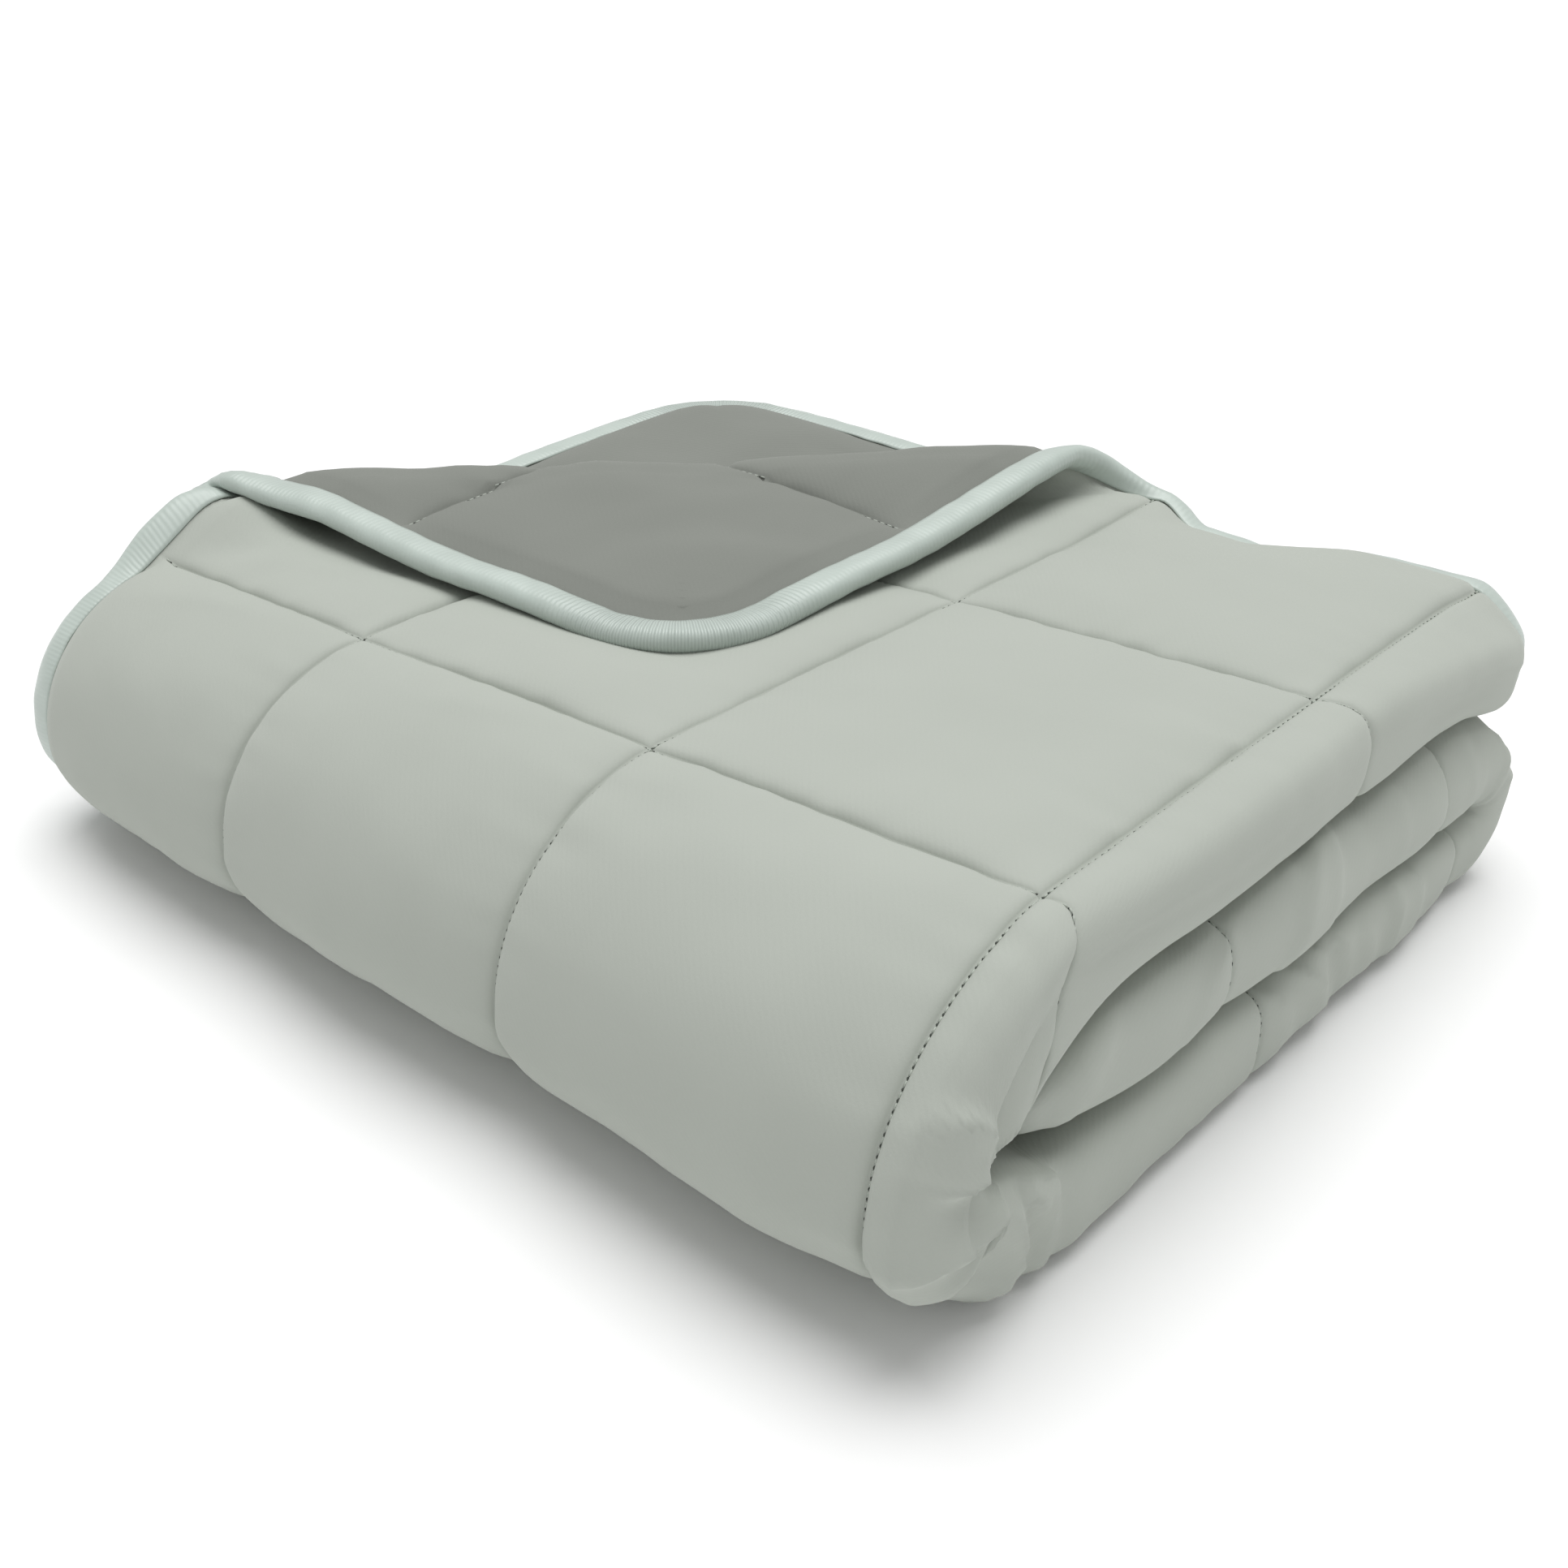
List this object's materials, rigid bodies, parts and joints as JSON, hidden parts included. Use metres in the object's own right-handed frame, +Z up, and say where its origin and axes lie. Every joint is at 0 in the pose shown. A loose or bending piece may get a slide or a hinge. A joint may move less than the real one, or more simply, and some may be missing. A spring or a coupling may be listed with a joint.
{
  "type": "weighted blanket",
  "caption": "Folded quilted blanket with stitched square channels, a darker reverse, a ribbon-bound edge and one corner turned back.",
  "frame": {"origin": "centre of the bounding box, on the surface the folded blanket rests on", "axes": "+X towards the lengthwise fold, +Y towards the back with the bare corner, +Z up"},
  "size_m": [0.4306, 0.3992, 0.1237],
  "materials": {
    "quilted_top": "matt microfibre",
    "reverse_cloth": "matt microfibre",
    "satin_binding": "satin"
  },
  "bodies": {
    "root": {"quilted_top": "quilted_top", "reverse_cloth": "reverse_cloth", "satin_binding": "satin_binding"}
  },
  "joints": []
}
